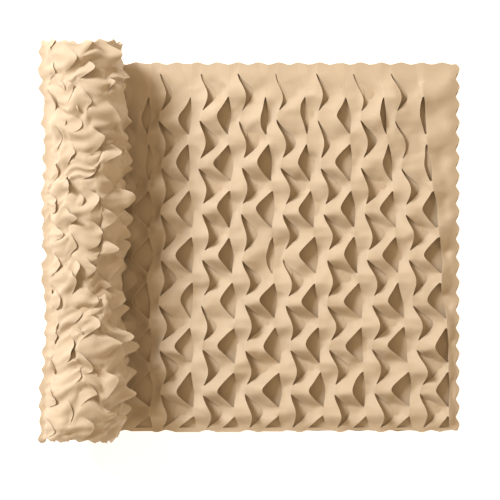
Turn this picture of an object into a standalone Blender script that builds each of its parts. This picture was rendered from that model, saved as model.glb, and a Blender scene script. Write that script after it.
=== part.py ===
# Shade sail: a die-cut shade net used double, wound in a loose roll at one end and laid
# out at the other. Metres, +X from the roll to the free end, +Y along the roll, +Z
# up. The shapes are worked out about the roll's axis and moved at the end, so that the
# origin is the bottom centre of the whole part.
import math

import bpy
from mathutils import Vector
from mathutils.geometry import delaunay_2d_cdt

# Driving sizes of the laid out end
NET_WIDTH = 1.001
FREE_EDGE_X = 0.9825
PLY = 0.0024
REST_GAP = 0.0003
TUCK_X = -0.0040
BORDER = 0.013

# The cut pattern. Straight spines and zigzag strips run along Y. A spine is bridged to
# its own zigzag strip at each A row and to the one on its left at each B row, halfway on.
SPINE_START_X = 0.1665
SPINE_PITCH = 0.1108
PITCH_FAN = 0.0141
SPINES = 7
ROW_PITCH = 0.1170
ROW_GROWTH = 0.0016
ROWS = 8
SPINE_SWAY = (0.0025, 13.0, 1.9)

# Each strip edge's distance from the spine's place, at an A row and at a B row. The
# zigzag's right edge is measured from the next spine at its B row. The spine's right edge
# and the zigzag's left edge are drawn aside by the skew, to the right above an A row.
SPINE_LEFT = (-0.0140, -0.0205)
SPINE_RIGHT = (0.0100, 0.0245)
ZIGZAG_LEFT = (0.0130, 0.0580)
ZIGZAG_RIGHT = (0.0510, -0.0235)
SKEW = 0.0045
TIP_ROUNDING = 0.25

# The gaps reach this far from their row, in row pitches, and have these points on the
# edge to the left and to the right, as shares of that reach
WEDGE_REACH = 0.405
LEAF_REACH = 0.395
FINE_STEPS = ((-0.62, -0.22, 0.22, 0.62), (-0.5, 0.0, 0.5))
PLAIN_STEPS = ((-0.25, 0.25), (0.0,))
SMALLEST_GAP = 0.012

# Heights of the upper ply's middle surface: its strips lie tilted like louvres, over
# gentle swells that run across the sheet, each with its rates along X and Y. The ply
# rises from its cut edges, less steeply on its far side, and from the tuck between two
# distances from the axis.
BRIDGE_HEIGHT = 0.0240
EDGE_LIFT = 0.0190
EDGE_DROP = 0.0180
LIFT_SPREAD = 0.22
SWELL = 0.0012
SWELL_RATES = ((9.0, 4.0), (-5.0, 13.0))
EASE_WIDTH = 0.055
FAR_SIDE_EASE = 0.5
TUCK_RISE = (0.055, 0.120)

# The lower ply lies relaxed on the surface, its pattern further on and its cuts closed, so
# that only their edges stand up a little
LOWER_SHIFT = (0.0354, 0.0500)
LOWER_SCALLOP_SHIFT = 0.022
LOWER_LIFT = 0.0012
LOWER_LIFTS_FROM = 0.9

# Scallops of the cut edges: wave length and depth
LONG_EDGE_SCALLOP = (0.0550, 0.0065)
SHORT_EDGE_SCALLOP = (0.0480, 0.0110)
EDGE_STEP = 0.0100
GUIDE_STEP = 0.0550

# Places where the strips are pressed flat: x, y, radius. In the middle this share of the
# bridges' height, of the lift and of the gaps' size is left.
PRESSED_BRIDGE = 0.5
PRESSED_LIFT = 0.25
PRESSED_GAP = 0.59
PRESSED = (
    (0.281, -0.157, 0.085),
    (0.484, -0.022, 0.080),
    (0.403, 0.370, 0.080),
    (0.579, 0.329, 0.095),
    (0.876, 0.289, 0.170),
    (0.240, 0.430, 0.110),
    (0.490, 0.450, 0.120),
    (0.700, 0.440, 0.120),
    (0.870, 0.460, 0.120),
    (0.090, 0.400, 0.110),
    (0.090, 0.240, 0.110),
)

# The roll: y, how far its middle lies off the axis, and its half width. Its strips stand
# out by the relief and give way by the slack, with its rates along Y and around.
ROLL_STATIONS = (
    (-0.508, -0.0190, 0.1020),
    (-0.470, -0.0122, 0.1120),
    (-0.405, -0.0052, 0.1180),
    (-0.342, -0.0045, 0.1175),
    (-0.262, -0.0007, 0.1130),
    (-0.142, -0.0071, 0.1080),
    (-0.009, -0.0078, 0.1085),
    (0.152, 0.0000, 0.1130),
    (0.287, 0.0019, 0.1150),
    (0.392, 0.0007, 0.1150),
    (0.445, -0.0045, 0.1180),
    (0.494, -0.0064, 0.1170),
    (0.532, -0.0076, 0.1130),
)
ROLL_SAG = 0.95
ROLL_RELIEF = 0.0105
ROLL_SLACK = (0.0040, 21.0, 2.0)
ROLL_PITCHES = 5
ROLL_ARC = (math.radians(228), math.radians(-54))
ROLL_ROW_STEP = 0.0118
ROLL_ROW_PITCH = 0.1176
ROLL_ROW_SHIFT = 0.0400
RELIEF_FADE = 0.17
FLAP_DROP_WIDTH = 0.07
ROLL_SCALLOP = (0.0450, 0.0090)
SCALLOP_SIDE = (math.radians(178), math.radians(45))
END_RINGS = (0.84, 0.62, 0.40, 0.18)
END_DEPTH = 0.010

SAND = (0.72, 0.53, 0.34)
SHADED_SAND = (0.60, 0.43, 0.27)

LOWER_TOP = PLY
UPPER_REST = LOWER_TOP + REST_GAP + PLY / 2
ROLL_ON_PLIES = UPPER_REST + PLY / 2 + REST_GAP


def blend(ends, share):
    return ends[0] + (ends[1] - ends[0]) * share


def ease(share):
    share = min(max(share, 0.0), 1.0)
    return share * share * (3.0 - 2.0 * share)


# Two ways from an A row, 0, to a B row, 1: a smooth bow, and a straight run that starts
# with a rounded tip
def bow(share):
    return 0.5 - 0.5 * math.cos(math.pi * share)


def run(share):
    tip = math.hypot(share, TIP_ROUNDING) - TIP_ROUNDING
    return tip / (math.hypot(1.0, TIP_ROUNDING) - TIP_ROUNDING)


# How far a cut edge draws back from the tops of its waves
def scallop(along, wave):
    length, depth = wave
    return depth * bow(2.0 * along / length)


# Spine left, spine right, zigzag left and zigzag right edge at a place along the rows
def strip_edges(row, pitch):
    share = 2.0 * abs(row - round(row))
    skew = SKEW * math.sin(math.tau * row)
    return (
        blend(SPINE_LEFT, bow(share)),
        blend(SPINE_RIGHT, bow(share)) + skew,
        blend(ZIGZAG_LEFT, 1.0 - run(1.0 - share)) + skew,
        blend((ZIGZAG_RIGHT[0], pitch + ZIGZAG_RIGHT[1]), run(share)),
    )


# Strips differ in how far they lift
def unevenness(spine, row):
    return 1.0 - LIFT_SPREAD * (1.0 - math.sin(2.1 * spine + 1.3 * row))


def row_y(row, shift_y):
    return shift_y - NET_WIDTH / 2 + ROW_PITCH * row + ROW_GROWTH * row * (row - 1) / 2


def spine_x(spine, y, shift_x):
    pitch = SPINE_PITCH - PITCH_FAN * y
    reach, rate, spine_phase = SPINE_SWAY
    sway = reach * math.sin(rate * y + spine_phase * spine)
    return min(SPINE_START_X + shift_x + spine * pitch + sway, FREE_EDGE_X - BORDER)


def edge_point(spine, row, edge, shift):
    y = row_y(row, shift[1])
    start = spine_x(spine, y, shift[0])
    pitch = spine_x(spine + 1, y, shift[0]) - start
    return start + strip_edges(row, pitch)[edge], y


# One gap's loop as (x, y, lift). Lift is 0 at the bridges, positive where a strip's free
# edge stands up and negative where it hangs. Both sides are given as spine and edge.
def gap_loop(left, right, row, reach, steps, shift):
    lift = unevenness(left[0], row)
    loop = []
    for end, side, side_steps, way in ((-1, right, steps[1], -1), (1, left, steps[0], 1)):
        corner = row + end * reach
        tips = [edge_point(spine, corner, edge, shift) for spine, edge in (left, right)]
        loop.append(((tips[0][0] + tips[1][0]) / 2, tips[0][1], 0.0))
        for step in side_steps if end < 0 else reversed(side_steps):
            x, y = edge_point(side[0], row + step * reach, side[1], shift)
            loop.append((x, y, way * lift * math.cos(0.5 * math.pi * step) ** 2))
    return loop


# 0 in the middle of a pressed place, 1 well outside them all
def loose_share(x, y):
    return min(
        ease(0.8 * math.hypot(x - spot_x, y - spot_y) / radius)
        for spot_x, spot_y, radius in PRESSED
    )


# Pressed strips close on their gaps
def drawn_in(loop):
    middle_x = sum(point[0] for point in loop) / len(loop)
    middle_y = sum(point[1] for point in loop) / len(loop)
    share = blend((PRESSED_GAP, 1.0), loose_share(middle_x, middle_y))
    return [
        (middle_x + (x - middle_x) * share, middle_y + (y - middle_y) * share, lift)
        for x, y, lift in loop
    ]


# A gap that reaches into a long border ends in a straight side along it
def clear_of_borders(loop):
    limit = NET_WIDTH / 2 - BORDER
    cut = [(x, min(max(y, -limit), limit), lift) for x, y, lift in loop]
    kept = []
    for before, point, after in zip(cut[-1:] + cut, cut, cut[1:] + cut[:1]):
        if not (abs(point[1]) == limit and before[1] == point[1] == after[1]):
            kept.append(point)
    return kept


def is_open(loop):
    if len(loop) < 4:
        return False
    xs, ys, _ = zip(*loop)
    return max(xs) - min(xs) > SMALLEST_GAP and max(ys) - min(ys) > SMALLEST_GAP


# A strip pair that the border leaves too little room for stays uncut
def has_room(spine, row, shift):
    y = row_y(row, shift[1])
    pitch = spine_x(spine + 1, y, shift[0]) - spine_x(spine, y, shift[0])
    return pitch > 0.7 * SPINE_PITCH


# A wedge gap lies around an A row, between a zigzag strip and the next spine. A leaf gap
# lies around a B row, between a spine and its own zigzag strip.
def gap_loops(first_spine, steps, shift):
    loops = []
    for row in range(ROWS):
        for spine in range(first_spine, SPINES):
            if not has_room(spine, row, shift):
                continue
            wedge = ((spine, 3), (spine + 1, 0))
            loops.append(gap_loop(*wedge, row, WEDGE_REACH, steps, shift))
            leaf = ((spine, 1), (spine, 2))
            if spine > first_spine:
                loops.append(gap_loop(*leaf, row + 0.5, LEAF_REACH, steps, shift))
    loops = [clear_of_borders(drawn_in(loop)) for loop in loops]
    return [loop for loop in loops if is_open(loop)]


# How free the upper ply is of the surface below it: 0 at its cut edges and at the tuck
def free_share(x, y):
    half = NET_WIDTH / 2
    inset = min(half + y, (half - y) * FAR_SIDE_EASE, FREE_EDGE_X - x)
    return ease(inset / EASE_WIDTH) * ease((x - TUCK_RISE[0]) / (TUCK_RISE[1] - TUCK_RISE[0]))


def upper_height(x, y, lift):
    swell = SWELL * sum(math.sin(rate_x * x + rate_y * y) for rate_x, rate_y in SWELL_RATES)
    loose = loose_share(x, y)
    bridge = BRIDGE_HEIGHT * blend((PRESSED_BRIDGE, 1.0), loose)
    reach = EDGE_LIFT if lift > 0 else EDGE_DROP
    reach *= blend((PRESSED_LIFT, 1.0), loose)
    height = max(bridge + swell + reach * lift, UPPER_REST + LOWER_LIFT)
    return blend((UPPER_REST, height), free_share(x, y))


def lower_height(x, y, lift):
    freed = (free_share(x, y) - LOWER_LIFTS_FROM) / (1.0 - LOWER_LIFTS_FROM)
    return PLY / 2 + LOWER_LIFT * max(lift, 0.0) * ease(freed)


# A ply's scalloped outline, straight where it is tucked under the roll
def outline(phase):
    half = NET_WIDTH / 2
    left = TUCK_X + REST_GAP
    span = FREE_EDGE_X - left
    count_x = round(span / EDGE_STEP)
    count_y = round(NET_WIDTH / EDGE_STEP)
    points = []
    for index in range(count_x):
        x = left + span * index / count_x
        points.append((x, -half + scallop(x + phase, LONG_EDGE_SCALLOP), 0.0))
    for index in range(count_y + 1):
        y = (index / count_y - 0.5) * (NET_WIDTH - 2 * LONG_EDGE_SCALLOP[1])
        x = FREE_EDGE_X - scallop(y + phase, SHORT_EDGE_SCALLOP)
        points.append((x, y, 0.0))
    for index in range(count_x - 1, -1, -1):
        x = left + span * index / count_x
        points.append((x, half - scallop(x + phase, LONG_EDGE_SCALLOP), 0.0))
    return points


# Points inside the plain parts: along the tuck, and in the band along the far long edge
def guides():
    half = NET_WIDTH / 2
    count = round(NET_WIDTH / GUIDE_STEP)
    along_tuck = [(TUCK_RISE[0], -half + GUIDE_STEP * i, 0.0) for i in range(1, count)]
    along_band = [(GUIDE_STEP * i, half - BORDER, 0.0) for i in range(2, count - 1)]
    return along_tuck + along_band


# Whether a point lies inside a loop: a line from it along +X crosses the loop oddly
def is_inside(point, loop):
    odd = False
    for (ax, ay, _), (bx, by, _) in zip(loop, loop[1:] + loop[:1]):
        if (ay > point.y) != (by > point.y):
            if ax + (point.y - ay) * (bx - ax) / (by - ay) > point.x:
                odd = not odd
    return odd


def make_object(name, vertices, faces, colour):
    mesh = bpy.data.meshes.new(name)
    mesh.from_pydata(vertices, [], faces)
    mesh.update()
    item = bpy.data.objects.new(name, mesh)
    bpy.context.collection.objects.link(item)
    material = bpy.data.materials.new(name)
    material.use_nodes = True
    shader = material.node_tree.nodes["Principled BSDF"]
    shader.inputs["Base Color"].default_value = (*colour, 1.0)
    shader.inputs["Roughness"].default_value = 0.7
    shader.inputs["Metallic"].default_value = 0.0
    mesh.materials.append(material)
    return item


# A ply: its loops are filled with triangles, open gaps left out, and the sheet is doubled
# by its thickness and walled along every cut edge
def make_ply(name, first_spine, shift, phase, steps, height, is_closed, colour):
    loops = gap_loops(first_spine, steps, shift)
    gaps = [] if is_closed else loops
    points = []
    edges = []
    for loop in [outline(phase)] + loops:
        first = len(points)
        count = len(loop)
        points.extend(loop)
        edges.extend((first + i, first + (i + 1) % count) for i in range(count))
    points.extend(guides())
    flat = [Vector(point[:2]) for point in points]
    spots, _, triangles, origins, _, _ = delaunay_2d_cdt(flat, edges, [], 1, 1e-6)

    cloth = []
    for triangle in triangles:
        middle = sum((spots[i] for i in triangle), Vector((0.0, 0.0))) / 3
        if not any(is_inside(middle, loop) for loop in gaps):
            cloth.append(tuple(triangle))

    count = len(spots)
    vertices = []
    for side in (PLY / 2, -PLY / 2):
        for spot, origin in zip(spots, origins):
            vertices.append((spot.x, spot.y, height(*points[origin[0]]) + side))
    faces = list(cloth)
    faces.extend((count + c, count + b, count + a) for a, b, c in cloth)
    sides = {(tri[i], tri[(i + 1) % 3]) for tri in cloth for i in range(3)}
    for a, b in sorted(sides):
        if (b, a) not in sides:
            faces.append((count + a, count + b, b, a))
    return make_object(name, vertices, faces, colour)


# The roll's middle and half width at a place along it
def roll_station(y):
    for first, second in zip(ROLL_STATIONS, ROLL_STATIONS[1:]):
        if y <= second[0]:
            break
    share = (y - first[0]) / (second[0] - first[0])
    return blend((first[1], second[1]), share), blend((first[2], second[2]), share)


# The wound net's strips around the roll: turn in pitches and lift, going over the top
# from the left. Behind each raised edge the surface drops to the turn below.
def roll_lines(row):
    share = 2.0 * abs(row - round(row))
    edges = [offset / SPINE_PITCH for offset in strip_edges(row, SPINE_PITCH)]
    spine_left, spine_right, zigzag_left, zigzag_right = edges
    gap_one = min(FLAP_DROP_WIDTH, (zigzag_left - spine_right) / 2)
    gap_two = min(FLAP_DROP_WIDTH, (1.0 + spine_left - zigzag_right) / 2)
    raised_b = bow(share)
    raised_a = 1.0 - raised_b
    pattern = (
        (spine_left, -raised_a),
        (spine_right, raised_b),
        (spine_right + gap_one, -raised_b),
        (zigzag_left, -0.8 * raised_b),
        (zigzag_right, raised_a),
        (zigzag_right + gap_two, -raised_a),
    )
    lines = []
    for turn in range(ROLL_PITCHES):
        uneven = unevenness(turn, row)
        lines.extend((turn + offset, lift * uneven) for offset, lift in pattern)
    return lines[1:]


def roll_section(y):
    shift, half = roll_station(y)
    middle_z = ROLL_SAG * half
    flat_left = shift - math.sqrt(half**2 - middle_z**2)
    flat_right = shift + math.sqrt(half**2 - (middle_z - ROLL_ON_PLIES) ** 2)
    section = [
        (flat_right, ROLL_ON_PLIES),
        (TUCK_X, ROLL_ON_PLIES),
        (TUCK_X, 0.0),
        (flat_left, 0.0),
    ]
    for turn, lift in roll_lines((y - ROLL_ROW_SHIFT) / ROLL_ROW_PITCH):
        share = turn / ROLL_PITCHES
        angle = blend(ROLL_ARC, share)
        fade = ease(share / RELIEF_FADE) * ease((1.0 - share) / RELIEF_FADE)
        depth, rate, turn_rate = ROLL_SLACK
        slack = depth * (0.5 + 0.5 * math.sin(rate * y + turn_rate * angle))
        radius = half - (ROLL_RELIEF * (1.0 - lift) + slack) * fade
        side = ease(2.0 - 2.0 * abs(angle - SCALLOP_SIDE[0]) / SCALLOP_SIDE[1])
        radius -= side * scallop(y, ROLL_SCALLOP)
        section.append((shift + radius * math.cos(angle),
                        middle_z + radius * math.sin(angle)))
    return section, (shift, middle_z)


# The roll is one solid of its wound form. Each end steps inward along the winding.
def make_roll():
    low = ROLL_STATIONS[0][0]
    high = ROLL_STATIONS[-1][0]
    count = round((high - low) / ROLL_ROW_STEP)
    stations = [low + (high - low) * index / count for index in range(count + 1)]
    rings = []
    for y in stations:
        section, _ = roll_section(y)
        rings.append([(x, y, z) for x, z in section])
    for y, outward in ((low, -1), (high, 1)):
        ring = rings[0] if outward < 0 else rings[-1]
        ends = end_rings(ring, y, outward)
        rings = ends[::-1] + rings if outward < 0 else rings + ends

    size = len(rings[0])
    vertices = [point for ring in rings for point in ring]
    faces = []
    for first in range(0, len(vertices) - size, size):
        for i in range(size):
            j = (i + 1) % size
            faces.append((first + i, first + j, first + size + j, first + size + i))
    for ring, first in ((rings[0], 0), (rings[-1], len(vertices) - size)):
        middle = len(vertices)
        vertices.append(tuple(sum(axis) / size for axis in zip(*ring)))
        for i in range(size):
            j = (i + 1) % size
            face = (middle, first + j, first + i)
            faces.append(face if first == 0 else face[::-1])
    return make_object("roll", vertices, faces, SAND)


def end_rings(ring, y, outward):
    _, (middle_x, middle_z) = roll_section(y)
    size = len(ring)
    rings = []
    for level, share in enumerate(END_RINGS):
        points = []
        for index, (x, _, z) in enumerate(ring):
            depth = END_DEPTH * (0.15 + (0.5 * level + index / size) % 1.0)
            points.append((middle_x + (x - middle_x) * share, y - outward * depth,
                           middle_z + (z - middle_z) * share))
        rings.append(points)
    return rings


# Moves the finished parts so that the origin is the bottom centre of the whole
def centre_on_origin(items):
    corners = [vertex.co for item in items for vertex in item.data.vertices]
    middle = [(min(c[axis] for c in corners) + max(c[axis] for c in corners)) / 2
              for axis in (0, 1)]
    for item in items:
        item.location = (-middle[0], -middle[1], 0.0)


for old in list(bpy.data.objects):
    bpy.data.objects.remove(old)
centre_on_origin([
    make_ply("lower_ply", -2, LOWER_SHIFT, LOWER_SCALLOP_SHIFT, PLAIN_STEPS,
             lower_height, True, SHADED_SAND),
    make_ply("upper_ply", -1, (0.0, 0.0), 0.0, FINE_STEPS, upper_height, False, SAND),
    make_roll(),
])
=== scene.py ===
import math

import bpy
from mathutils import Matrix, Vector


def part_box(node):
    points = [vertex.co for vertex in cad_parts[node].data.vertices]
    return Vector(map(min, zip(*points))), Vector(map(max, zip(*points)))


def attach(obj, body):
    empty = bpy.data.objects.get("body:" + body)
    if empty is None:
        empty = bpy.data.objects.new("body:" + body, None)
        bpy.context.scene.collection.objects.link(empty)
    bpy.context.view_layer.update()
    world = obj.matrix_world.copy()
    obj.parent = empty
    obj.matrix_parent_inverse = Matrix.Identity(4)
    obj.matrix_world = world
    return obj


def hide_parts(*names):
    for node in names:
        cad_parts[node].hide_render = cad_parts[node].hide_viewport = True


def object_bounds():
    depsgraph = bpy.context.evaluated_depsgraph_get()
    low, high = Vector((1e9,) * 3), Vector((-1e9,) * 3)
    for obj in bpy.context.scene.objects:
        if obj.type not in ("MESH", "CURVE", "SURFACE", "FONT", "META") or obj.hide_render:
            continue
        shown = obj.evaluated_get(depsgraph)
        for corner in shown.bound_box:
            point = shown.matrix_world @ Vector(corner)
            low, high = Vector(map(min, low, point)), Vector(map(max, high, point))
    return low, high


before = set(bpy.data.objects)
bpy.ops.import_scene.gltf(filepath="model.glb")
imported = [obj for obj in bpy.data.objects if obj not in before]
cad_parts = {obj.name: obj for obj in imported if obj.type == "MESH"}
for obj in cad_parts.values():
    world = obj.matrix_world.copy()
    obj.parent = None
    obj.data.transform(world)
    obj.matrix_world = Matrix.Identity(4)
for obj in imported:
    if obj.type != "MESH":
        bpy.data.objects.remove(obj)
cadBox = [list(corner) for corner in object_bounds()]
print("frame loaded")


# Node trees written as sums: a Value is a socket that takes + - * / with numbers and other Values

class Value:
    def __init__(self, tree, socket):
        self.tree = tree
        self.socket = socket

    def __add__(self, other):
        return calc(self.tree, "ADD", self, other)

    def __sub__(self, other):
        return calc(self.tree, "SUBTRACT", self, other)

    def __rsub__(self, other):
        return calc(self.tree, "SUBTRACT", other, self)

    def __mul__(self, other):
        return calc(self.tree, "MULTIPLY", self, other)

    def __truediv__(self, other):
        return calc(self.tree, "DIVIDE", self, other)

    __radd__ = __add__
    __rmul__ = __mul__


def plug(tree, socket, value):
    if isinstance(value, Value):
        tree.links.new(value.socket, socket)
    elif isinstance(value, bpy.types.NodeSocket):
        tree.links.new(value, socket)
    else:
        socket.default_value = value


def addNode(tree, kind, inputs=None, **settings):
    node = tree.nodes.new(kind)
    for name, value in settings.items():
        setattr(node, name, value)
    for name, value in (inputs or {}).items():
        plug(tree, node.inputs[name], value)
    return node


def calc(tree, operation, *values, clamp=False):
    node = addNode(tree, "ShaderNodeMath", operation=operation, use_clamp=clamp)
    for socket, value in zip(node.inputs, values):
        plug(tree, socket, value)
    return Value(tree, node.outputs[0])


def mix(low, high, share):
    return low + (high - low) * share


def clamped(value):
    return calc(value.tree, "ADD", value, 0.0, clamp=True)


def smooth(value):
    share = clamped(value)
    return share * share * (3.0 - 2.0 * share)


def sine(value):
    return calc(value.tree, "SINE", value)


def cosine(value):
    return calc(value.tree, "COSINE", value)


def absolute(value):
    return calc(value.tree, "ABSOLUTE", value)


def power(value, exponent):
    return calc(value.tree, "POWER", value, exponent)


def above(value, limit):
    return calc(value.tree, "GREATER_THAN", value, limit)


def below(value, limit):
    return calc(value.tree, "LESS_THAN", value, limit)


def least(one, other):
    return calc(one.tree, "MINIMUM", one, other)


def most(one, other):
    return calc(one.tree, "MAXIMUM", one, other)


# Waves along a cut edge: 0 at a lobe's top, depth in the notch between two
def scallops(along, length, depth):
    return (0.5 - 0.5 * cosine(along * (math.tau / length))) * depth


noiseSpread = 2.6  # takes the noise node's usual range to about -1 to 1


# Noise at a place given by up to three values
def wander(tree, place, seed, scale=1.0, detail=0.0):
    spot = addNode(tree, "ShaderNodeCombineXYZ", dict(zip("XYZ", place)))
    node = addNode(
        tree, "ShaderNodeTexNoise",
        {"Vector": spot.outputs[0], "W": seed, "Scale": scale, "Detail": detail},
        noise_dimensions="4D",
    )
    return (Value(tree, node.outputs[0]) - 0.5) * noiseSpread


# A curve through points given as (place, value)
def throughPoints(tree, place, points):
    places, values = zip(*points)
    low, high = min(values), max(values)
    start, length = places[0], places[-1] - places[0]
    node = addNode(tree, "ShaderNodeFloatCurve", {"Value": (place - start) / length})
    curve = node.mapping.curves[0]
    while len(curve.points) < len(points):
        curve.points.new(0.5, 0.5)
    for point, x, y in zip(curve.points, places, values):
        point.location = ((x - start) / length, (y - low) / (high - low))
    node.mapping.update()
    return Value(tree, node.outputs[0]) * (high - low) + low


def geometryTree(name, inputs):
    tree = bpy.data.node_groups.new(name, "GeometryNodeTree")
    tree.interface.new_socket("Geometry", in_out="OUTPUT", socket_type="NodeSocketGeometry")
    for label, value in inputs.items():
        socket = tree.interface.new_socket(label, in_out="INPUT", socket_type="NodeSocketFloat")
        socket.default_value = value
    source = tree.nodes.new("NodeGroupInput")
    return tree, {label: Value(tree, source.outputs[label]) for label in inputs}


def closeTree(tree, geometry, material):
    realize = addNode(tree, "GeometryNodeRealizeInstances", {"Geometry": geometry})
    paint = addNode(tree, "GeometryNodeSetMaterial", {
        "Geometry": realize.outputs[0], "Material": material,
    })
    target = tree.nodes.new("NodeGroupOutput")
    tree.links.new(paint.outputs[0], target.inputs["Geometry"])
    return tree


# Applies a piece's modifiers, so that a plain mesh is left
def bake(item):
    bpy.context.view_layer.update()
    evaluated = item.evaluated_get(bpy.context.evaluated_depsgraph_get())
    mesh = bpy.data.meshes.new_from_object(evaluated)
    item.modifiers.clear()
    item.data = mesh
    mesh.name = item.name
    return mesh


# The cut net: straight spines and zigzag strips run along Y. A spine hangs on its own zigzag
# strip at each A row and on the one before it at each B row, halfway on. Between these bridges
# a leaf gap opens around a B row, and a wedge gap around an A row. Places are worked out from
# the roll's axis, as in the part's own sizes.
net = {
    "cloth": 0.0009,
    "width": 1.001,
    "freeEdge": 0.9825,
    "border": 0.013,  # no spine's middle lies nearer the free edge
    "firstSpine": -1,  # this one lies under the roll
    "lastSpine": 7,  # this one is the plain border of the free edge
    "spineStart": 0.1665,
    "pitch": 0.1108,
    "fan": 0.0141,  # what a pitch loses over a metre of +Y
    "rows": 8.15,
    "rowPitch": 0.1170,
    "rowGrowth": 0.0016,  # what a row's pitch gains over the one before
    "bridge": 0.2,  # its share of the way from an A row to a B row
    "tipRounding": 0.25,  # of a gap's pointed ends
    "longScallop": (0.0550, 0.0065),  # length, depth
    "shortScallop": (0.0480, 0.0110),
}
# Mesh lines across a spine and across a zigzag strip, with one more over each gap. The cloth
# on top has the fine ones, and the cloth under it the coarse ones.
fineLines = (7, 7)
coarseLines = (3, 4)

axisX = cadBox[1][0] - net["freeEdge"]
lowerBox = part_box("lower_ply")
axisY = (lowerBox[0][1] + lowerBox[1][1]) / 2


# Fields over a grid whose lines follow the strips' edges
class Strips:
    def __init__(self, tree, lines, fromZigzag, spineEnds, rowEnds, rowLines):
        self.tree = tree
        self.leafStart = lines[0]
        self.zigzagStart = self.leafStart + 1
        self.wedgeStart = self.zigzagStart + lines[1]
        perPitch = self.wedgeStart + 1
        firstSpine, lastSpine = spineEnds
        firstLine = firstSpine * perPitch
        if fromZigzag:
            firstLine += self.zigzagStart - perPitch
        lineCount = lastSpine * perPitch + self.leafStart - firstLine
        firstRow, lastRow = rowEnds
        rowCount = round((lastRow - firstRow) * rowLines)
        self.rowEnds = (firstRow, firstRow + rowCount / rowLines)
        self.geometry = addNode(tree, "GeometryNodeMeshGrid", {
            "Size X": float(lineCount), "Size Y": float(rowCount),
            "Vertices X": lineCount + 1, "Vertices Y": rowCount + 1,
        }).outputs["Mesh"]
        place = addNode(tree, "GeometryNodeInputPosition").outputs[0]
        apart = addNode(tree, "ShaderNodeSeparateXYZ", {"Vector": place})
        nudge = 0.001  # so that a whole line is never rounded down to the one before
        line = Value(tree, apart.outputs["X"]) + (firstLine + lineCount / 2 + nudge)
        self.row = (Value(tree, apart.outputs["Y"]) + rowCount / 2) / rowLines + firstRow
        self.spine = calc(tree, "FLOOR", line / perPitch)
        self.line = line - self.spine * perPitch
        # 0 at an A row, 1 at a B row
        self.share = calc(tree, "PINGPONG", self.row * 2.0, 1.0)
        self.atB = self.bow(self.share)
        leafShare = clamped((self.share - net["bridge"]) / (1.0 - net["bridge"]))
        wedgeShare = clamped(1.0 - self.share / (1.0 - net["bridge"]))
        self.leafOpen = 1.0 - self.run(1.0 - leafShare)
        self.wedgeOpen = 1.0 - self.run(1.0 - wedgeShare)
        self.leafLift = self.bow(leafShare)
        self.wedgeLift = self.bow(wedgeShare)
        self.acrossSpine = clamped(self.line / lines[0])
        self.acrossLeaf = clamped(self.line - self.leafStart)
        self.acrossZigzag = clamped((self.line - self.zigzagStart) / lines[1])
        self.acrossWedge = clamped(self.line - self.wedgeStart)

    def bow(self, share):
        return 0.5 - 0.5 * cosine(share * math.pi)

    # A straight way from 0 to 1 that starts with a rounded tip
    def run(self, share):
        rounding = net["tipRounding"]
        length = calc(self.tree, "SQRT", share * share + rounding**2)
        return (length - rounding) / (math.hypot(1.0, rounding) - rounding)

    # Noise that differs from strip to strip and changes along each
    def drift(self, number, seed, apart, rate):
        return wander(self.tree, (number * apart, self.row * rate), seed)

    # Goes through the five edges of a pitch. Curls make a spine and a zigzag strip rise late
    def follow(self, edges, curls=(1.0, 1.0)):
        shares = [self.acrossSpine, self.acrossLeaf, self.acrossZigzag, self.acrossWedge]
        for index, curl in zip((0, 2), curls):
            if curl != 1.0:
                shares[index] = power(shares[index], curl)
        value = edges[0]
        for before, after, share in zip(edges, edges[1:], shares):
            value = value + (after - before) * share
        return value

    # Takes the gaps' faces out, apart from the bridges and the plain bands of the long edges
    def cut(self, firstWedge, lowBand, highBand, wedgeEnd):
        leaf = above(self.line, self.leafStart) * below(self.line, self.zigzagStart)
        leaf = leaf * above(self.share, net["bridge"]) * above(self.spine, firstWedge + 0.5)
        wedge = above(self.line, self.wedgeStart) * below(self.share, 1.0 - net["bridge"])
        wedge = wedge * above(self.spine, firstWedge - 0.5) * below(self.row, wedgeEnd)
        low, high = self.rowEnds
        inside = above(self.row, low + lowBand) * below(self.row, high - highBand)
        self.geometry = addNode(
            self.tree, "GeometryNodeDeleteGeometry",
            {"Geometry": self.geometry, "Selection": ((leaf + wedge) * inside).socket},
            domain="FACE",
        ).outputs[0]

    # Keeps a point's place on the sheet as the UV map, and its nearness to the cut edges as an
    # attribute: the mask for a painted highlight along the sand cloth's edges and a darker edge on
    # the back cloth
    def keepSheet(self, along, across):
        spineRim, zigzagRim = 4.0, 5.0  # a quarter of a spine, a fifth of a zigzag strip
        nearEdge = 1.0 - least(self.acrossSpine, 1.0 - self.acrossSpine) * spineRim
        nearZigzag = 1.0 - least(self.acrossZigzag, 1.0 - self.acrossZigzag) * zigzagRim
        inSpine = below(self.line, self.leafStart + 0.5)
        cutEdgeAndHighlight = clamped(mix(nearZigzag, nearEdge, inSpine))
        flat = addNode(self.tree, "ShaderNodeCombineXYZ", {"X": along, "Y": across}).outputs[0]
        for name, kind, domain, value in (
            ("UVMap", "FLOAT2", "CORNER", flat),
            ("cutEdgeAndHighlight", "FLOAT", "POINT", cutEdgeAndHighlight),
        ):
            self.geometry = addNode(
                self.tree, "GeometryNodeStoreNamedAttribute",
                {"Geometry": self.geometry, "Name": name, "Value": value},
                data_type=kind, domain=domain,
            ).outputs[0]

    # The notches of the two long edges, each within a short band of rows
    def notches(self, along, length, depth, band):
        low, high = self.rowEnds
        nearLow = clamped(1.0 - (self.row - low) / band)
        nearHigh = clamped(1.0 - (high - self.row) / band)
        return scallops(along, length, depth) * (nearLow - nearHigh)

    def move(self, x, y, z):
        place = addNode(self.tree, "ShaderNodeCombineXYZ", {"X": x, "Y": y, "Z": z})
        self.geometry = addNode(self.tree, "GeometryNodeSetPosition", {
            "Geometry": self.geometry, "Position": place.outputs[0],
        }).outputs[0]


sharpAngle = math.radians(55)


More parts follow.
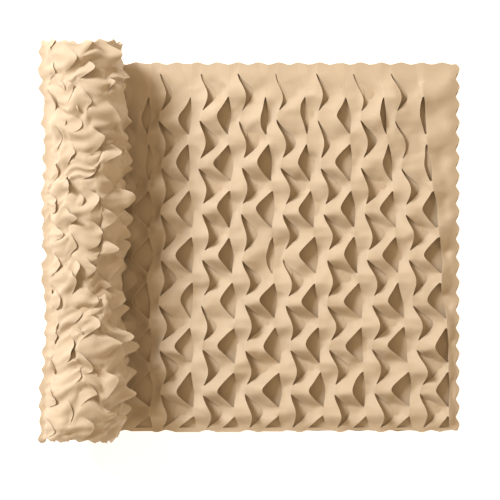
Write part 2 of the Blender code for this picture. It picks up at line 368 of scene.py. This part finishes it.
# Grows a piece from a tree and the piece's own values, and gives it the cloth's thickness
def makeCloth(name, tree, settings, levels=0):
    item = bpy.data.objects.new(name, bpy.data.meshes.new(name + "Start"))
    bpy.context.collection.objects.link(item)
    maker = item.modifiers.new("maker", "NODES")
    maker.node_group = tree
    for socket in tree.interface.items_tree:
        if socket.in_out == "INPUT":
            maker[socket.identifier] = float(settings[socket.name])
    bake(item).shade_smooth()
    if levels:
        rounder = item.modifiers.new("rounder", "SUBSURF")
        rounder.levels = levels
        rounder.render_levels = levels
    body = item.modifiers.new("body", "SOLIDIFY")
    body.thickness = net["cloth"]
    body.offset = 0.0
    bake(item).set_sharp_from_angle(angle=sharpAngle)
    return item


# The laid out plies: what differs between the two
laid = {
    "Slit": 0.0018,
    "Bridge height": 0.0240,
    "Edge lift": 0.0190,
    "Edge drop": 0.0180,
    "Rest height": 0.0039,
    "Leaf gap": 0.0320,
    "Wedge share": 1.0,
    "Sway": 0.0070,
    "Crumple": 0.0042,
    "Buckle": 0.0080,
    "Crease": 0.0080,
    "Border fold": 0.0220,
    "Unevenness": 0.8,
    "Gap spread": 0.35,
    "Shift X": 0.0,
    "Scallop shift": 0.0,
    "Seed": 3.0,
}
laidUnder = {
    "Slit": -0.0050,
    "Bridge height": 0.0040,
    "Edge lift": 0.0022,
    "Edge drop": 0.0020,
    "Rest height": 0.0010,
    "Leaf gap": 0.0,
    "Wedge share": 0.0,
    "Sway": 0.0120,
    "Crumple": 0.0016,
    "Buckle": 0.0034,
    "Crease": 0.0,
    "Border fold": 0.0,
    "Unevenness": 0.5,
    "Gap spread": 0.0,
    "Shift X": 0.0354,
    "Scallop shift": 0.006,
    "Seed": 8.0,
}
# What they share. A spine's edges are given from its middle.
laidNet = {
    "left": 0.0140,
    "leftWidening": 0.0065,  # what it gains at a B row
    "right": 0.0100,
    "rightWidening": 0.0145,
    "skew": 0.0045,
    "clothPerPitch": 0.0650,  # at an A row: what is left over is the wedge gap
    "leafMiddle": 0.036,
    "wedgeMiddle": 0.045,
    "wave": 0.0025,
    "waveRates": (13.0, 1.9),  # along a spine, from one spine to the next
    "liftFall": 0.16,
    "liftRates": (1.3, 2.1),  # along the rows, from strip to strip
    "dropSpread": 0.7,
    "rise": 0.7,  # under 1, so that an edge leaves its bridge fast
    "upperDrop": 0.6,
    "upperSlope": (0.25, 0.3),  # where a zigzag strip starts to hang lower, its length in rows
    "spineCurl": 1.3,
    "zigzagCurl": 1.5,
    "pressedGap": 0.30,  # what is left in a pressed spot of a gap, of the bridges' height, of tilt
    "pressedBridge": 0.5,
    "pressedLouvre": 0.25,
    "pressedFade": 0.8,
    "edgeSlope": 0.055,
    "farShare": 0.5,  # makes the slope of the far edge twice as long
    "rollSlope": (0.055, 0.065),  # where the slope up from under the roll starts, its length
    "swell": 0.0012,
    "swellRates": ((9.0, 4.0), (-5.0, 13.0)),
    "wobble": 0.004,
    "foldPlace": 0.38,  # of the fold along the plain border, as a share of its width
    "foldSway": 0.26,
    "lowBand": 0.1,  # the plain bands of the long edges, in rows
    "highBand": 0.15,
    "wedgeEnd": 7.5,  # no wedge gap past this row
    "notchBand": 0.1,
}
# Where strips are pressed flat: x from the roll's axis, y from the net's middle, radius
pressed = (
    (0.281, -0.157, 0.085),
    (0.484, -0.022, 0.080),
    (0.403, 0.370, 0.080),
    (0.579, 0.329, 0.095),
    (0.876, 0.289, 0.170),
    (0.240, 0.430, 0.110),
    (0.490, 0.450, 0.120),
    (0.700, 0.440, 0.120),
    (0.870, 0.460, 0.120),
    (0.090, 0.400, 0.110),
    (0.090, 0.240, 0.110),
)


def laidTree(name, material, lines, rowShift, rowLines):
    tree, given = geometryTree(name, laid)
    spineEnds = (net["firstSpine"], net["lastSpine"])
    rowStart = -rowShift / net["rowPitch"]
    strips = Strips(tree, lines, True, spineEnds, (rowStart, net["rows"] + rowStart), rowLines)
    row, spine = strips.row, strips.spine
    half = net["width"] / 2
    y = row * net["rowPitch"] + row * (row - 1.0) * (net["rowGrowth"] / 2) - half + rowShift
    seed = given["Seed"]

    # 0 in the middle of a pressed spot, 1 away from them all. Each noise below adds a number of
    # its own to the seed.
    def loose(x, y):
        share = 1.0
        for spotX, spotY, radius in pressed:
            away = calc(tree, "SQRT", (x - spotX) * (x - spotX) + (y - spotY) * (y - spotY))
            spot = smooth(away * (laidNet["pressedFade"] / radius))
            share = spot if share == 1.0 else least(share, spot)
        return share

    def spineX(number):
        alongRate, apartRate = laidNet["waveRates"]
        sway = sine(y * alongRate + number * apartRate) * laidNet["wave"]
        sway = sway + strips.drift(number, seed, apart=3.7, rate=1.4) * given["Sway"]
        place = number * (net["pitch"] - y * net["fan"]) + net["spineStart"] + given["Shift X"]
        return least(place + sway, net["freeEdge"] - net["border"])

    def spread(number):
        uneven = strips.drift(number, seed + 6.0, apart=4.1, rate=1.2)
        return 1.0 + uneven * given["Gap spread"]

    def lift(number):
        uneven = strips.drift(number, seed + 4.0, apart=5.3, rate=1.7)
        alongRate, apartRate = laidNet["liftRates"]
        even = 1.0 - laidNet["liftFall"] * (1.0 - sine(number * apartRate + row * alongRate))
        return given["Edge lift"] * (even + uneven * given["Unevenness"])

    def hanging(number):
        uneven = strips.drift(number, seed + 5.0, apart=4.7, rate=1.5)
        return given["Edge drop"] * (-1.0 - laidNet["dropSpread"] * (uneven * given["Unevenness"]))

    # The five edges of a pitch, from left to right
    here, after = spineX(spine), spineX(spine + 1.0)
    leafLoose = mix(laidNet["pressedGap"], 1.0, loose(here + laidNet["leafMiddle"], y))
    leafLoose = leafLoose * spread(spine)
    wedgeLoose = mix(laidNet["pressedGap"], 1.0, loose(after - laidNet["wedgeMiddle"], y))
    wedgeLoose = wedgeLoose * least(spread(spine + 0.5), 1.0)
    edge = net["freeEdge"] - scallops(y + given["Scallop shift"], *net["shortScallop"])
    isBorder = above(spine, net["lastSpine"] - 0.5)
    spineLeft = here - laidNet["left"] - laidNet["leftWidening"] * strips.atB
    skew = sine(row * math.tau) * laidNet["skew"]
    spineRight = here + laidNet["right"] + laidNet["rightWidening"] * strips.atB + skew
    spineRight = mix(spineRight, edge, isBorder)
    zigzagLeft = spineRight + given["Slit"] + given["Leaf gap"] * strips.leafOpen * leafLoose
    nextSpine = after - laidNet["left"] - laidNet["leftWidening"] * strips.atB
    wedgeGap = most(after - here - laidNet["clothPerPitch"], 0.0) * wedgeLoose
    wedgeGap = wedgeGap * given["Wedge share"]
    zigzagRight = nextSpine - given["Slit"] - wedgeGap * strips.wedgeOpen
    x = least(strips.follow((spineLeft, spineRight, zigzagLeft, zigzagRight, nextSpine)), edge)

    # A strip hangs low on its left beside a gap, and stands up on its right beside the next
    slopeStart, slopeLength = laidNet["upperSlope"]
    full = smooth((calc(tree, "FRACT", row) - slopeStart) / slopeLength)
    wedgeUp = power(strips.wedgeLift, laidNet["rise"])
    leafUp = power(strips.leafLift, laidNet["rise"])
    heights = (
        hanging(spine) * wedgeUp,
        lift(spine) * leafUp * (1.0 - isBorder),
        hanging(spine + 0.5) * leafUp * mix(laidNet["upperDrop"], 1.0, full),
        lift(spine + 0.5) * wedgeUp,
        hanging(spine + 1.0) * wedgeUp,
    )
    curls = (
        1.0 + laidNet["spineCurl"] * strips.wedgeOpen,
        1.0 + laidNet["zigzagCurl"] * strips.leafOpen,
    )
    louvre = strips.follow(heights, curls)

    # Waves and creases of the cloth itself, which fade out towards the edges and the roll
    inset = least(y + half, (half - y) * laidNet["farShare"])
    inset = least(inset, net["freeEdge"] - x)
    slopeStart, slopeLength = laidNet["rollSlope"]
    free = smooth(inset / laidNet["edgeSlope"]) * smooth((x - slopeStart) / slopeLength)
    one, other = [sine(x * rateX + y * rateY) for rateX, rateY in laidNet["swellRates"]]
    swell = (one + other) * laidNet["swell"]
    crumple = wander(tree, (x, y), seed + 9.0, scale=22.0, detail=1.0) * given["Crumple"]
    buckle = wander(tree, (x, y), seed + 12.0, scale=11.0) * given["Buckle"]
    crease = absolute(wander(tree, (x, y), seed + 15.0, scale=13.0)) * given["Crease"]
    bend = absolute(strips.acrossSpine - laidNet["foldPlace"] - laidNet["foldSway"] * strips.atB)
    slack = loose(x, y)
    height = given["Bridge height"] * mix(laidNet["pressedBridge"], 1.0, slack)
    height = height + louvre * mix(laidNet["pressedLouvre"], 1.0, slack)
    height = height + swell + crumple + buckle - crease + bend * isBorder * given["Border fold"]
    z = mix(given["Rest height"], most(height, given["Rest height"]), free)

    strips.cut(net["firstSpine"], laidNet["lowBand"], laidNet["highBand"], laidNet["wedgeEnd"])
    strips.keepSheet(x, y)
    notches = strips.notches(x + given["Scallop shift"], *net["longScallop"], laidNet["notchBand"])
    wobble = strips.drift(spine, seed + 2.0, apart=2.3, rate=1.1) * laidNet["wobble"] * free
    strips.move(x + axisX, y + notches + axisY + wobble, z)
    return closeTree(tree, strips.geometry, material)


# The roll: the net wound over the top from its left side, its strips gathered and ruffled
wound = {
    "Start angle": math.radians(163),
    "Start turn": 0.0,
    "Turn drop": 0.0170,
    "Mean radius": 0.1050,
    "Relief": 0.0080,
    "Edge lift": 0.0190,
    "Edge drop": 0.0040,
    "Ruffle": 0.0060,
    "Fold": 0.0150,
    "Crease": 0.0120,
    "Fine crease": 0.0060,
    "Crumple": 0.0055,
    "Slip": 0.0260,
    "Seed": 21.0,
}
woundUnder = dict(wound, **{
    "Start turn": 1.1,
    "Edge lift": 0.0080,
    "Ruffle": 0.0040,
    "Fold": 0.0030,
    "Crease": 0.0020,
    "Fine crease": 0.0,
    "Slip": 0.0100,
    "Seed": 33.0,
})
# What the outer turn and the inner ones share
woundNet = {
    "pitch": 0.105,
    "rows": 12.5,
    "sway": 0.012,
    "leftWidening": 0.012,
    "right": 0.030,
    "rightWidening": 0.034,
    "slit": 0.002,
    "leafLap": 0.012,  # strips lap over each other where a gap would open
    "wedgeLap": 0.016,
    "liftMiddle": 0.50,
    "liftSpread": 1.2,
    "curl": 2.6,
    "louvreSides": (0.7, 1.3),  # on the left, and more on the right
    "foldRates": ((6.0, 4.0), (0.0, 17.0)),
    "creaseRates": ((13.0, 0.0), (-10.0, 32.0)),
    "fineRates": ((30.0, 10.0), (-16.0, 34.0)),
    "notchBand": 0.12,
    "endBand": 0.1,
    "longScallop": (0.0470, 0.0090),
    "looseScallop": (0.0450, 0.0075),
    "looseEdge": -0.010,
    "looseSlope": (-0.002, 0.026),  # where the loose edge's calm starts to fade, over what length
    "looseCalm": 0.55,
    "looseLift": 0.5,
    "endMiddle": 0.012,
    "endSlope": (0.45, 0.06),  # how far out the calmer ends start, over what length
    "endCalm": 0.45,
    "flare": (0.010, 0.7),  # the loose edge bends out: where it starts, how steep it is
    "upturn": (0.002, 0.9),  # and up
    "heightShare": 0.95,  # how high the middle lies, of the half width
    "rest": 0.006,  # the lowest that a turn lies, and what each further turn adds
    "turnRest": 0.004,
    "crestShrink": 0.038,  # the roll's top is this share shorter than its sides
}
# Along the roll: y, how far its middle lies off the axis, its half width
rollStations = (
    (-0.508, -0.0190, 0.1020),
    (-0.470, -0.0122, 0.1120),
    (-0.405, -0.0052, 0.1180),
    (-0.342, -0.0045, 0.1175),
    (-0.262, -0.0007, 0.1130),
    (-0.142, -0.0071, 0.1080),
    (-0.009, -0.0078, 0.1085),
    (0.152, 0.0000, 0.1130),
    (0.287, 0.0019, 0.1150),
    (0.392, 0.0007, 0.1150),
    (0.445, -0.0045, 0.1180),
    (0.494, -0.0064, 0.1170),
    (0.532, -0.0076, 0.1130),
)


def woundTree(name, material, lines, pitches, rowLines, hasEnd):
    tree, given = geometryTree(name, wound)
    strips = Strips(tree, lines, False, (0, pitches), (0.0, woundNet["rows"]), rowLines)
    row, spine = strips.row, strips.spine
    seed = given["Seed"]
    lowY, highY = rollStations[0][0], rollStations[-1][0]
    y = row / strips.rowEnds[1] * (highY - lowY) + lowY

    def spineX(number):
        sway = strips.drift(number, seed, apart=3.7, rate=0.9) * woundNet["sway"]
        return number * woundNet["pitch"] + sway

    def lift(number):
        uneven = strips.drift(number, seed + 4.0, apart=5.3, rate=1.2)
        return given["Edge lift"] * clamped(woundNet["liftMiddle"] + uneven * woundNet["liftSpread"])

    # The five edges of a pitch, measured along the winding from the loose edge
    here, after = spineX(spine), spineX(spine + 1.0)
    isFirst = below(spine, 0.5) * (1.0 if hasEnd else 0.0)
    looseEdge = scallops(y, *woundNet["looseScallop"]) + woundNet["looseEdge"]
    spineLeft = mix(here - woundNet["leftWidening"] * strips.atB, looseEdge, isFirst)
    spineRight = here + woundNet["right"] + woundNet["rightWidening"] * strips.atB
    zigzagLeft = spineRight + woundNet["slit"] - woundNet["leafLap"] * strips.leafOpen
    nextSpine = after - woundNet["leftWidening"] * strips.atB
    zigzagRight = nextSpine - woundNet["slit"] + woundNet["wedgeLap"] * strips.wedgeOpen
    along = strips.follow((spineLeft, spineRight, zigzagLeft, zigzagRight, nextSpine))
    heights = (
        given["Edge drop"] * strips.wedgeLift * (isFirst - 1.0),
        lift(spine) * strips.leafLift * (1.0 - woundNet["looseLift"] * isFirst),
        given["Edge drop"] * strips.leafLift * -1.0,
        lift(spine + 0.5) * strips.wedgeLift,
        given["Edge drop"] * strips.wedgeLift * -1.0,
    )
    angle = given["Start angle"] - along / given["Mean radius"] - given["Start turn"] * math.tau
    turn = given["Start turn"] + along / given["Mean radius"] / math.tau
    louvre = strips.follow(heights, (woundNet["curl"], woundNet["curl"]))
    onLeft, moreOnRight = woundNet["louvreSides"]
    louvre = louvre * (onLeft + moreOnRight * (0.5 + 0.5 * cosine(angle)))

    def patches(change, scale, detail=0.0):
        return wander(tree, (along, y, turn), seed + change, scale, detail)

    # Noise drawn out and turned: the rates along and across the sheet for each of its two axes
    def slanted(rates, change):
        one, other = [along * alongRate + y * acrossRate for alongRate, acrossRate in rates]
        return wander(tree, (one, other, turn), seed + change)

    crumple = patches(7.0, scale=34.0, detail=1.0) * given["Crumple"]
    crumple = crumple - absolute(slanted(woundNet["fineRates"], 3.0)) * given["Fine crease"]
    relief = patches(6.0, scale=12.0) * given["Ruffle"] + crumple
    relief = relief + slanted(woundNet["foldRates"], 11.0) * given["Fold"]
    relief = relief - absolute(slanted(woundNet["creaseRates"], 5.0)) * given["Crease"] + louvre

    # The cloth slips about on itself, less at its loose edge and at the roll's ends
    endStart, endLength = woundNet["endSlope"]
    nearEnd = smooth((absolute(y - woundNet["endMiddle"]) - endStart) / endLength)
    band = mix(1.0, woundNet["endCalm"], nearEnd)
    calm, flare, upturn = 1.0, 0.0, 0.0
    if hasEnd:
        slopeStart, slopeLength = woundNet["looseSlope"]
        band = smooth((along - slopeStart) / slopeLength) * band
        calm = mix(woundNet["looseCalm"], 1.0, band)
        flare = most(woundNet["flare"][0] - along, 0.0) * woundNet["flare"][1]
        upturn = most(woundNet["upturn"][0] - along, 0.0) * woundNet["upturn"][1]
    slip = patches(8.0, scale=9.0) * given["Slip"] * band
    slipY = patches(9.0, scale=9.0) * given["Slip"] * band
    angle = angle + slip / given["Mean radius"]

    middle = throughPoints(tree, y, [(station[0], station[1]) for station in rollStations])
    radius = throughPoints(tree, y, [(station[0], station[2]) for station in rollStations])
    reach = radius - given["Relief"] - turn * given["Turn drop"] + relief * calm
    x = middle + reach * cosine(angle) - flare
    z = radius * woundNet["heightShare"] + reach * sine(angle) + upturn
    z = most(z, woundNet["rest"] + turn * woundNet["turnRest"])

    strips.cut(0, woundNet["endBand"], woundNet["endBand"], woundNet["rows"])
    strips.keepSheet(along, y)
    crest = 1.0 - absolute(cosine(angle))
    notches = strips.notches(along, *woundNet["longScallop"], woundNet["notchBand"])
    place = y * (1.0 - woundNet["crestShrink"] * crest) + slipY + notches
    strips.move(x + axisX, place + axisY, z)
    return closeTree(tree, strips.geometry, material)


# Woven cloth: colour that varies a little, threads, and cut edges; the sand cloth's lighter edge
# colour is a painted highlight
weave = {
    "thread": 0.0011,
    "mottle": 0.06,
    "mottleScale": 7.0,
    "slubScale": 240.0,
    "threadShade": 0.03,
    "slubShade": 0.02,
    "slubHeight": 0.6,
    "rimSharpness": 6.0,
    "roughness": 0.78,
    "threadGloss": 0.10,
    "bump": 0.35,
    "bumpHeight": 0.0003,
    "specular": 0.35,
    "sheen": 0.12,
    "sheenRoughness": 0.5,
}
# The sand cloth's lighter edge colour is a painted highlight; the back cloth's edge colour is darker
clothColours = {  # the cloth, its cut edges
    "sandCloth": ((0.570, 0.462, 0.338), (0.61, 0.50, 0.37)),
    # A little darker than the sand cloth: the net's back side is taken as darker, and the darker
    # tone is also painted shade for the lower ply and the inner turns seen through the gaps
    "backClothPaintedShade": ((0.545, 0.432, 0.305), (0.52, 0.40, 0.27)),
}


def weaveGroup():
    tree = bpy.data.node_groups.new("wovenCloth", "ShaderNodeTree")
    for label, kind, way in (
        ("Thread", "Float", "INPUT"),
        ("Mottle", "Float", "INPUT"),
        ("Cloth", "Color", "INPUT"),
        ("Edge", "Color", "INPUT"),
        ("Color", "Color", "OUTPUT"),
        ("Roughness", "Float", "OUTPUT"),
        ("Height", "Float", "OUTPUT"),
    ):
        tree.interface.new_socket(label, in_out=way, socket_type="NodeSocket" + kind)
    given = tree.nodes.new("NodeGroupInput")
    thread = Value(tree, given.outputs["Thread"])
    mottle = Value(tree, given.outputs["Mottle"])
    uv = addNode(tree, "ShaderNodeUVMap", uv_map="UVMap").outputs[0]
    apart = addNode(tree, "ShaderNodeSeparateXYZ", {"Vector": uv})
    warp = sine(Value(tree, apart.outputs["X"]) * math.tau / thread)
    weft = sine(Value(tree, apart.outputs["Y"]) * math.tau / thread)
    threads = 0.5 + 0.5 * warp * weft

    def texture(place, scale, detail):
        inputs = {"Vector": place, "Scale": scale, "Detail": detail}
        return Value(tree, addNode(tree, "ShaderNodeTexNoise", inputs).outputs[0])

    place = addNode(tree, "ShaderNodeTexCoord").outputs["Object"]
    cloud = texture(place, weave["mottleScale"], detail=3.0)
    slub = texture(uv, weave["slubScale"], detail=1.0)
    shade = 1.0 + (cloud - 0.5) * mottle * 2.0
    shade = shade * mix(1.0 - weave["threadShade"], 1.0, threads)
    shade = shade * (1.0 + (slub - 0.5) * weave["slubShade"])
    # Painted highlight along the sand cloth's cut edges from its lighter edge colour; on the back
    # cloth the edge colour is darker
    cutEdgeAndHighlight = addNode(tree, "ShaderNodeAttribute", attribute_name="cutEdgeAndHighlight")
    edge = power(clamped(Value(tree, cutEdgeAndHighlight.outputs["Fac"])), weave["rimSharpness"])
    blend = addNode(tree, "ShaderNodeMix", {"Factor": edge}, data_type="RGBA")
    tree.links.new(given.outputs["Cloth"], blend.inputs[6])
    tree.links.new(given.outputs["Edge"], blend.inputs[7])
    tint = addNode(tree, "ShaderNodeVectorMath", {0: blend.outputs[2], "Scale": shade},
                   operation="SCALE")
    addNode(tree, "NodeGroupOutput", {
        "Color": tint.outputs[0],
        "Roughness": weave["roughness"] - weave["threadGloss"] * threads,
        "Height": threads + weave["slubHeight"] * slub,
    })
    return tree


def clothMaterial(name, group):
    cloth, edge = clothColours[name]
    material = bpy.data.materials.new(name)
    material.use_nodes = True
    tree = material.node_tree
    woven = addNode(tree, "ShaderNodeGroup", node_tree=group)
    for label, value in (
        ("Thread", weave["thread"]),
        ("Mottle", weave["mottle"]),
        ("Cloth", (*cloth, 1.0)),
        ("Edge", (*edge, 1.0)),
    ):
        woven.inputs[label].default_value = value
    bump = addNode(tree, "ShaderNodeBump", {
        "Strength": weave["bump"], "Distance": weave["bumpHeight"],
        "Height": woven.outputs["Height"],
    })
    shader = tree.nodes["Principled BSDF"]
    for label, value in (
        ("Base Color", woven.outputs["Color"]),
        ("Roughness", woven.outputs["Roughness"]),
        ("Normal", bump.outputs[0]),
        ("Metallic", 0.0),
        ("Specular IOR Level", weave["specular"]),
        ("Sheen Weight", weave["sheen"]),
        ("Sheen Roughness", weave["sheenRoughness"]),
    ):
        plug(tree, shader.inputs[label], value)
    return material


woven = weaveGroup()
sandCloth = clothMaterial("sandCloth", woven)
backClothPaintedShade = clothMaterial("backClothPaintedShade", woven)
print("cloth mixed")

upperTree = laidTree("laidUpper", sandCloth, fineLines, rowShift=0.0, rowLines=36)
lowerTree = laidTree("laidLower", backClothPaintedShade, coarseLines, rowShift=0.0500, rowLines=12)
upper = makeCloth("laid_net_upper", upperTree, laid)
lower = makeCloth("laid_net_lower", lowerTree, laidUnder, levels=1)
print("plies laid")

outerTree = woundTree("woundOuter", sandCloth, fineLines, pitches=7, rowLines=18, hasEnd=True)
innerTree = woundTree("woundInner", backClothPaintedShade, coarseLines, pitches=13, rowLines=10, hasEnd=False)
outer = makeCloth("rolled_net_outer", outerTree, wound)
inner = makeCloth("rolled_net_inner", innerTree, woundUnder)
print("roll wound")


# Floor, light and camera
studio = {
    "floorSize": 12.0,
    "floorColour": (0.94, 0.94, 0.94),
    "floorRoughness": 0.9,
    "glowColour": (1.0, 1.0, 1.0),
    "glow": 0.7,
    "lampPlace": (-3.27, 2.94, 3.31),
    "lampSize": 1.6,
    "lampPower": 325.0,
    "skyColour": (1.0, 0.76, 0.49),
    "sky": 0.65,
    "cameraPlace": (-0.0164, -0.0208, 2.8),
    "lens": 74.6,
    "sensorWidth": 36.0,
}

bpy.ops.mesh.primitive_plane_add(size=studio["floorSize"])
ground = bpy.context.object
ground.name = "ground"
paint = bpy.data.materials.new("paleFloor")
paint.use_nodes = True
shader = paint.node_tree.nodes["Principled BSDF"]
shader.inputs["Base Color"].default_value = (*studio["floorColour"], 1.0)
shader.inputs["Roughness"].default_value = studio["floorRoughness"]
shader.inputs["Emission Color"].default_value = (*studio["glowColour"], 1.0)
shader.inputs["Emission Strength"].default_value = studio["glow"]
ground.data.materials.append(paint)

world = bpy.data.worlds.new("studioSky")
world.use_nodes = True
background = world.node_tree.nodes["Background"]
background.inputs["Color"].default_value = (*studio["skyColour"], 1.0)
background.inputs["Strength"].default_value = studio["sky"]
bpy.context.scene.world = world

lamp = bpy.data.lights.new("softLamp", "AREA")
lamp.size = studio["lampSize"]
lamp.energy = studio["lampPower"]
lampObject = bpy.data.objects.new("softLamp", lamp)
lampObject.location = studio["lampPlace"]
lampObject.rotation_euler = (-Vector(studio["lampPlace"])).to_track_quat("-Z", "Y").to_euler()
bpy.context.collection.objects.link(lampObject)

camera = bpy.data.cameras.new("camera")
camera.lens = studio["lens"]
camera.sensor_width = studio["sensorWidth"]
cameraObject = bpy.data.objects.new("camera", camera)
cameraObject.location = studio["cameraPlace"]
bpy.context.collection.objects.link(cameraObject)
bpy.context.scene.camera = cameraObject
bpy.context.scene.view_settings.view_transform = "Standard"
print("studio set")

# Each cloth, the node that it stands for, the width and length it was cut to, and how it lies
for piece, node, flat, held, support in (
    (upper, "upper_ply", (1.00, 0.76), "laid", "laid_net_lower"),
    (lower, "lower_ply", (1.00, 0.98), "laid", "ground"),
    (outer, "roll", (1.03, 0.74), "gathered", "rolled_net_inner"),
    (inner, "roll", (1.03, 1.35), "gathered", "ground"),
):
    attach(piece, "root")
    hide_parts(node)
